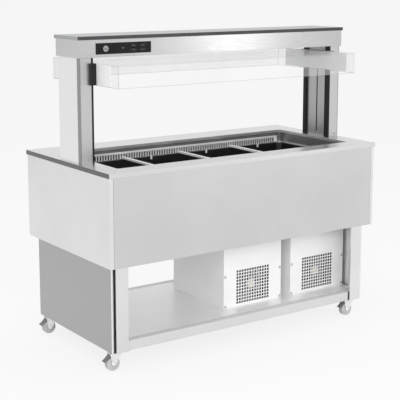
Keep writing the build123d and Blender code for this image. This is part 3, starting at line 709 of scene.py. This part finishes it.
class ISLAND_OT_stainless(bpy.types.Operator):
    """Brush the stainless panels, columns, beam, base and deck"""

    bl_idname = "island.stainless"
    bl_label = "Stainless panels"

    def execute(self, context):
        look = finishes()
        brush = look.steel_roughness
        deck_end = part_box("deck_top")[1].x
        column_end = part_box("column_right")[1].x
        base_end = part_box("right_end_panel")[1].x
        # The deck's turned-down ends carry painted shade
        deck = steel_with_painted_ends("stainless_deck", look.deck, look.deck_end, deck_end, brush, "X")
        # The columns' fronts carry painted shade and their outer sides painted light
        upright = steel_with_painted_ends(
            "stainless_upright", look.column_front_shade, look.column_side_light, column_end, brush, "Z"
        )
        # The end panels' outer faces carry painted shade from the overhanging skirts
        base = steel_with_painted_ends("stainless_base", look.shelf_steel, look.base_panel_shade, base_end, brush, "Y")
        # Painted shade on the front and back skirts, painted light on the end skirts: two tones of one
        # stainless
        lengthwise = brushed_steel("stainless_lengthwise", look.steel, brush, "X")
        crosswise = brushed_steel("stainless_crosswise", look.lit_steel, brush, "Y")
        dress(("deck_top",), deck)
        dress(("column_left", "column_right"), upright)
        dress(("left_end_panel", "right_end_panel"), base)
        dress(("front_skirt", "back_skirt"), lengthwise)
        dress(("left_skirt", "right_skirt"), crosswise)
        # The beam's darker stainless is painted shade for the darker surroundings it mirrors
        dress(("gantry_beam",), brushed_steel("stainless_beam", look.beam_steel_shade, look.beam_roughness, "X"))
        dress(("gantry_lid",), brushed_steel("stainless_lid", look.lid_steel, look.lid_roughness, "X"))
        dress(("column_trims",), brushed_steel("stainless_trim", look.trim_steel, brush, "Z"))
        dress(("column_panels",), brushed_steel("stainless_inner", look.panel_steel, brush, "Z"))
        # The post covers take the lighter stainless, painted light
        dress(("post_covers",), brushed_steel("stainless_cover", look.lit_steel, brush, "Z"))
        dress(("base_frame",), satin_steel("satin_frame", look.frame_steel, roughness=0.55))
        shelf = satin_steel("satin_shelf", look.shelf_steel, roughness=0.38, metallic=0.5)
        dress(("shelf_left", "shelf_right"), shelf)
        self.add_shade_strips()
        self.add_column_screws()
        return {"FINISHED"}

    def add_shade_strips(self):
        """Dark strips drawn as painted shade in the corner grooves, beside the post covers and in the seam
        of the shelf.
        """
        size = details()
        frame_low, frame_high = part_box("base_frame")
        cover_low, cover_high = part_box("post_covers")
        panel_low, panel_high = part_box("left_end_panel")
        seam_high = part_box("shelf_left")[1]
        seam_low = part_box("shelf_right")[0]
        left_edge = cover_low.x + size.cover
        right_edge = cover_high.x - size.cover
        beside_top = seam_high.z - size.shade_strip_drop
        runs = (
            (cover_low.x, frame_low.x, panel_high.z),
            (cover_high.x, frame_high.x, panel_high.z),
            (left_edge, left_edge + size.shade_strip_width, beside_top),
            (right_edge, right_edge - size.shade_strip_width, beside_top),
        )
        mesh = bmesh.new()
        for first, second, top in runs:
            for face, skin in ((frame_low.y, -size.seal), (frame_high.y, size.seal)):
                low = (min(first, second), min(face, face + skin), panel_low.z)
                bar(mesh, low, (max(first, second), max(face, face + skin), top))
        strip_low = (seam_high.x, seam_low.y, seam_high.z - size.seal)
        bar(mesh, strip_low, (seam_low.x, seam_high.y, seam_high.z - size.seal / 4))
        # Near-black strips stand as painted shade in the grooves and seams
        dark = moulded_plastic("groove_seal", finishes().black, roughness=0.6, gloss=0.15)
        piece("groove_seals", mesh, "cabinet", dark)

    def add_column_screws(self):
        """One screw at the foot of each column's front."""
        size = details()
        mesh = bmesh.new()
        for name in ("column_left", "column_right"):
            low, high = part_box(name)
            x = low.x + column_screw_place * (high.x - low.x)
            place = (x, low.y, low.z + 2 * size.screw_inset)
            screw(mesh, place, forward, column_screw_share * size.screw_head)
        zinc = plated_steel("column_zinc", finishes().column_screw, roughness=0.3)
        piece("column_screws", mesh, "cabinet", zinc)


class ISLAND_OT_well(bpy.types.Operator):
    """Finish the well, its air outlet and the parts hidden round it"""

    bl_idname = "island.well"
    bl_label = "Well"

    def execute(self, context):
        look = finishes()
        size = details()
        outlet_low, outlet_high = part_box("air_outlet_grille")
        ledge = outlet_low.z
        # The well's sheet carries painted shade on its walls, below the ledge and behind the outlet
        tank = shaded_tank_steel(
            "tank_sheet", look.shelf_steel, look.tank_shade, outlet_low, outlet_high, roughness=0.30
        )
        outlet = satin_steel("outlet_sheet", look.shelf_steel, roughness=0.45)
        dress(("well_tank",), tank)
        dress(("floor_pan",), satin_steel("pan_sheet", look.shelf_steel, roughness=0.5))
        dress(("air_outlet_grille", "pan_bars"), outlet)
        dress(("well_insulation",), foam_board("insulation_foam", look.foam))
        dress(("evaporator_coil", "condenser_coils"), plated_steel("coil_fins", look.coil, roughness=0.40))
        bars_low, bars_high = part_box("pan_bars")
        bay = (bars_high.x - bars_low.x) / 2
        back = bars_high.y - size.clip_setback
        half = size.clip_width / 2
        mesh = bmesh.new()
        for step in bay_middles:
            low = (step * bay - half, back - size.clip_thickness, ledge - size.clip_drop)
            bar(mesh, low, (step * bay + half, back, ledge + size.clip_lap))
        piece("ledge_clips", mesh, "cabinet", outlet)
        return {"FINISHED"}


class ISLAND_OT_plastics(bpy.types.Operator):
    """Finish the trims, rails, shoes and the control strip"""

    bl_idname = "island.plastics"
    bl_label = "Trims and rails"

    def execute(self, context):
        look = finishes()
        dress(("lid_edging",), moulded_plastic("dark_edging", look.trim, roughness=0.50))
        rail = moulded_plastic("black_rail", look.black, roughness=0.42, gloss=0.15)
        dress(("guide_rails", "guide_shoes"), rail)
        fascia = moulded_plastic("fascia_gloss", look.fascia, roughness=0.16, texture=300.0, gloss=0.20)
        dress(("control_fascia",), fascia)
        dress(("power_button",), moulded_plastic("power_cap", look.button, roughness=0.25))
        keys = moulded_plastic("key_caps", look.keys, roughness=0.35, gloss=0.25)
        dress(("raise_key", "lower_key", "light_key", "defrost_key"), keys)
        return {"FINISHED"}


class ISLAND_OT_hood(bpy.types.Operator):
    """Finish the clear hood, its carriage plates and the lift"""

    bl_idname = "island.hood"
    bl_label = "Hood and lift"

    def execute(self, context):
        look = finishes()
        # The hood's darker edges are painted shade
        dress(("hood_canopy",), clear_sheet("clear_acrylic", look.clear, look.clear_edge_shade))
        dress(("carriage_plates",), sprayed_paint("plate_paint", look.plate_paint, roughness=0.42))
        dress(("lift_rods",), plated_steel("rod_plating", look.rod, roughness=0.16))
        dress(("lift_actuators",), sprayed_paint("actuator_paint", look.actuator, roughness=0.45))
        # The end walls touch the plates, so the hood is drawn a hair shorter to keep the two faces apart
        hair = nodes["hood_canopy"].modifiers.new("hair_gap", "SIMPLE_DEFORM")
        hair.deform_method = "STRETCH"
        hair.deform_axis = "X"
        hair.factor = -details().hair_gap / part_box("hood_canopy")[1].x
        return {"FINISHED"}


class ISLAND_OT_units(bpy.types.Operator):
    """Finish the condensing units, screw their fronts on, and add hub caps and pipes"""

    bl_idname = "island.units"
    bl_label = "Condensing units"

    def execute(self, context):
        look = finishes()
        covers = [f"unit_cover_{side}" for side in sides]
        fronts = [f"unit_front_{side}" for side in sides]
        rotors = [f"fan_rotor_{side}" for side in sides]
        dress(covers + fronts, sprayed_paint("unit_paint", look.unit_paint, roughness=0.42))
        dress(("fan_shrouds",), sprayed_paint("shroud_paint", look.shroud, roughness=0.60, gloss=0.05))
        machine = sprayed_paint("machine_black", look.machine, roughness=0.40, gloss=0.25)
        dress(("fan_motors", "compressors"), machine)
        dress(rotors, moulded_plastic("fan_plastic", look.fan, roughness=0.50, gloss=0.05))
        self.add_screws(fronts)
        self.add_hub_caps()
        self.add_pipes()
        return {"FINISHED"}

    def add_screws(self, fronts):
        """Three screws down each side of each unit's front."""
        inset = details().screw_inset
        zinc = plated_steel("screw_zinc", finishes().unit_screw, roughness=0.28)
        for front in fronts:
            low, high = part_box(front)
            mesh = bmesh.new()
            for x in (low.x + inset, high.x - inset):
                for z in (low.z + inset, (low.z + high.z) / 2, high.z - inset):
                    screw(mesh, (x, low.y, z), forward, details().screw_head)
            piece(f"{front}_screws", mesh, "cabinet", zinc)

    def add_hub_caps(self):
        """Turned cap on the hub of each fan."""
        r = details().hub_cap / 2
        profile = [(share * r, height) for share, height in hub_cap_profile]
        finish = moulded_plastic("hub_cap", finishes().hub, roughness=0.40)
        for side in sides:
            low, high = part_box(f"fan_rotor_{side}")
            place = ((low.x + high.x) / 2, low.y, (low.z + high.z) / 2)
            mesh = bmesh.new()
            lathe(mesh, profile, facing(place, forward), steps=32)
            piece(f"hub_cap_{side}", mesh, f"fan_{side}", finish)

    def add_pipes(self):
        """Copper pipes from each compressor to its condenser."""
        size = details()
        bend = size.pipe_bend
        pots_low, pots_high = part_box("compressors")
        coils_low, coils_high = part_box("condenser_coils")
        copper = plated_steel("copper_pipe", finishes().copper, roughness=0.30)
        half_pot = (pots_high.y - pots_low.y) / 2
        y = (pots_low.y + pots_high.y) / 2
        behind = coils_high.y + size.pipe_stand
        for side in sides:
            low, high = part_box(f"unit_front_{side}")
            middle = (low.x + high.x) / 2
            mesh = bmesh.new()
            for way in (-1, 1):
                x = middle + way * pipe_start * half_pot
                far = middle + way * pipe_reach * half_pot
                top = pots_high.z + size.pipe_rise + size.pipe_stagger * way
                path = [
                    (x, y, pots_high.z - size.pipe_sink),
                    (x, y, top - bend),
                    (x + way * bend, y, top),
                    (far - way * bend, y, top),
                    (far, y - bend, top),
                    (far, coils_high.y + size.pipe_turn, top),
                    (far, behind, top - bend),
                    (far, behind, coils_low.z + size.pipe_foot),
                ]
                pipe(mesh, path, size.pipe / 2, facets=10)
            piece(f"copper_pipes_{side}", mesh, "cabinet", copper)


class ISLAND_OT_casters(bpy.types.Operator):
    """Finish the casters and add their bolts and axle nuts"""

    bl_idname = "island.casters"
    bl_label = "Casters"

    def execute(self, context):
        look = finishes()
        size = details()
        forks = [f"caster_fork_{corner}" for corner in corners]
        wheels = [f"caster_wheel_{corner}" for corner in corners]
        pedals = [f"brake_pedal_{corner}" for corner in corners]
        zinc = plated_steel("fork_zinc", look.fork, roughness=0.36)
        dress(["caster_plates"] + forks, zinc)
        dress(wheels, moulded_plastic("wheel_rubber", look.wheel, roughness=0.55))
        dress(pedals, moulded_plastic("pedal_paint", look.pedal, roughness=0.4))
        plate_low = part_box("caster_plates")[1].z - size.plate_sheet
        for corner in corners:
            low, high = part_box(f"caster_wheel_{corner}")
            axle = (low + high) / 2
            nuts = bmesh.new()
            for y, way in ((low.y - size.nut_offset, forward), (high.y + size.nut_offset, backward)):
                hexagon(nuts, (axle.x, y, axle.z), way, size.nut_flats, size.nut_height)
            piece(f"axle_nuts_{corner}", nuts, f"swivel_{corner}", zinc)
            joint = next(j for j in frame["joints"] if j["name"] == f"swivel_{corner}")
            swivel = Vector(joint["pos_m"])
            bolts = bmesh.new()
            for dx in (-size.bolt_spread, size.bolt_spread):
                for dy in (-size.bolt_spread, size.bolt_spread):
                    place = (swivel.x + dx, swivel.y + dy, plate_low)
                    hexagon(bolts, place, downward, size.plate_bolt_flats, size.plate_bolt_height)
            piece(f"plate_bolts_{corner}", bolts, "cabinet", zinc)
        return {"FINISHED"}


class ISLAND_OT_controls(bpy.types.Operator):
    """Mark the button and keys and add a pilot lamp"""

    bl_idname = "island.controls"
    bl_label = "Control marks"

    def execute(self, context):
        look = finishes()
        button_ink = moulded_plastic("printed_mark", look.button_mark, roughness=0.45)
        key_ink = moulded_plastic("printed_grey", look.key_mark, roughness=0.45)
        marks = (
            ("power_button", power_mark, button_ink),
            ("raise_key", raise_mark, key_ink),
            ("lower_key", lower_mark, key_ink),
            ("light_key", sun_mark, key_ink),
            ("defrost_key", star_mark, key_ink),
        )
        for name, draw, ink in marks:
            low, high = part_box(name)
            mesh = bmesh.new()
            draw(mesh, Vector(((low.x + high.x) / 2, low.y, (low.z + high.z) / 2)))
            piece(f"{name}_mark", mesh, name, ink)
        low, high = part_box("control_fascia")
        place = (low.x + details().lamp_inset, low.y, (low.z + high.z) / 2)
        lamp = bmesh.new()
        lathe(lamp, pilot_profile, facing(place, forward), steps=20)
        piece("pilot_lamp", lamp, "cabinet", lit_lamp("pilot_lens", look.lamp))
        return {"FINISHED"}


def seen_rays(tree):
    """Factor that is one for what is seen straight on, mirrored in metal or through the clear hood."""
    path = tree.nodes.new("ShaderNodeLightPath")
    seen = path.outputs["Is Camera Ray"]
    for kind in ("Is Glossy Ray", "Is Transmission Ray"):
        either = tree.nodes.new("ShaderNodeMath")
        either.operation = "MAXIMUM"
        tree.links.new(seen, either.inputs[0])
        tree.links.new(path.outputs[kind], either.inputs[1])
        seen = either.outputs["Value"]
    return seen


class ISLAND_OT_stage(bpy.types.Operator):
    """Set up the floor, lamps, room and camera"""

    bl_idname = "island.stage"
    bl_label = "Studio"

    def execute(self, context):
        scene = context.scene
        setup = scene.island_stage
        self.add_floor(scene, setup)
        self.add_lamps(scene, setup)
        self.add_room(scene, setup)
        self.add_camera(scene, setup)
        scene.view_settings.view_transform = "Standard"
        return {"FINISHED"}

    def add_floor(self, scene, setup):
        """Plain pale floor that melts into the backdrop."""
        floor = Shader("studio_floor")
        floor.set(Base_Color=(*setup.floor, 1.0), Roughness=0.9, Specular_IOR_Level=0.1)
        share = floor.node("ShaderNodeMath")
        share.operation = "MULTIPLY"
        share.inputs[1].default_value = setup.floor_glow
        floor.link(seen_rays(floor.tree), share.inputs[0])
        glow = floor.node("ShaderNodeEmission", Color=white, Strength=1.0)
        mixed = floor.node("ShaderNodeMixShader")
        floor.link(share.outputs["Value"], mixed.inputs["Fac"])
        floor.link(floor.surface.outputs["BSDF"], mixed.inputs[1])
        floor.link(glow.outputs["Emission"], mixed.inputs[2])
        floor.link(mixed.outputs["Shader"], floor.output.inputs["Surface"])
        mesh = bmesh.new()
        bmesh.ops.create_grid(mesh, x_segments=1, y_segments=1, size=floor_half)
        data = bpy.data.meshes.new("floor")
        mesh.to_mesh(data)
        mesh.free()
        data.materials.append(floor.material)
        ground = bpy.data.objects.new("floor", data)
        scene.collection.objects.link(ground)

    def add_lamps(self, scene, setup):
        """Soft area lamps that don't show themselves."""
        for kind, place, target, width, height in studio_lamps:
            light = bpy.data.lights.new(f"{kind}_lamp", "AREA")
            light.energy = getattr(setup, kind)
            light.shape = "RECTANGLE"
            light.size = width
            light.size_y = height
            lamp = bpy.data.objects.new(f"{kind}_lamp", light)
            lamp.location = place
            lamp.rotation_euler = (Vector(target) - Vector(place)).to_track_quat("-Z", "Y").to_euler()
            lamp.visible_camera = False
            lamp.visible_transmission = False
            scene.collection.objects.link(lamp)

    def add_room(self, scene, setup):
        """White room: one strength for its light, another for the backdrop that is seen."""
        world = bpy.data.worlds.new("room")
        world.use_nodes = True
        tree = world.node_tree
        light = tree.nodes["Background"]
        backdrop = tree.nodes.new("ShaderNodeBackground")
        for shade, strength in ((light, setup.room_light), (backdrop, setup.backdrop)):
            shade.inputs["Color"].default_value = white
            shade.inputs["Strength"].default_value = strength
        mixed = tree.nodes.new("ShaderNodeMixShader")
        tree.links.new(seen_rays(tree), mixed.inputs["Fac"])
        tree.links.new(light.outputs["Background"], mixed.inputs[1])
        tree.links.new(backdrop.outputs["Background"], mixed.inputs[2])
        tree.links.new(mixed.outputs["Shader"], tree.nodes["World Output"].inputs["Surface"])
        scene.world = world

    def add_camera(self, scene, setup):
        """Camera fitted to the photograph."""
        lens = bpy.data.cameras.new("camera")
        lens.lens = setup.camera_lens
        lens.sensor_width = sensor_width
        lens.shift_y = setup.camera_shift
        camera = bpy.data.objects.new("camera", lens)
        camera.location = setup.camera_place
        camera.rotation_euler = (pi / 2 - setup.camera_pitch, 0.0, setup.camera_yaw)
        scene.collection.objects.link(camera)
        scene.camera = camera


operators = (
    ISLAND_OT_stainless,
    ISLAND_OT_well,
    ISLAND_OT_plastics,
    ISLAND_OT_hood,
    ISLAND_OT_units,
    ISLAND_OT_casters,
    ISLAND_OT_controls,
    ISLAND_OT_stage,
)


class ISLAND_PT_looks(bpy.types.Panel):
    """Sidebar list of the island's pieces and sizes"""

    bl_idname = "ISLAND_PT_looks"
    bl_label = "Buffet island"
    bl_space_type = "VIEW_3D"
    bl_region_type = "UI"
    bl_category = "Island"

    def draw(self, context):
        layout = self.layout
        scene = context.scene
        for kind in operators:
            layout.operator(kind.bl_idname)
        for group in (scene.island_finishes, scene.island_details, scene.island_stage):
            box = layout.box()
            for name in group.__annotations__:
                box.prop(group, name)


classes = (IslandFinishes, IslandDetails, IslandStage, *operators, ISLAND_PT_looks)


def register():
    """Adds the classes and their values to Blender."""
    for kind in classes:
        bpy.utils.register_class(kind)
    bpy.types.Scene.island_finishes = bpy.props.PointerProperty(type=IslandFinishes)
    bpy.types.Scene.island_details = bpy.props.PointerProperty(type=IslandDetails)
    bpy.types.Scene.island_stage = bpy.props.PointerProperty(type=IslandStage)


def unregister():
    """Takes them out again."""
    del bpy.types.Scene.island_stage
    del bpy.types.Scene.island_details
    del bpy.types.Scene.island_finishes
    for kind in reversed(classes):
        bpy.utils.unregister_class(kind)


def main():
    """Registers the classes, dresses the island and sets up the studio."""
    register()
    for kind in operators:
        group, name = kind.bl_idname.split(".")
        getattr(getattr(bpy.ops, group), name)()


if __name__ == "__main__":
    main()
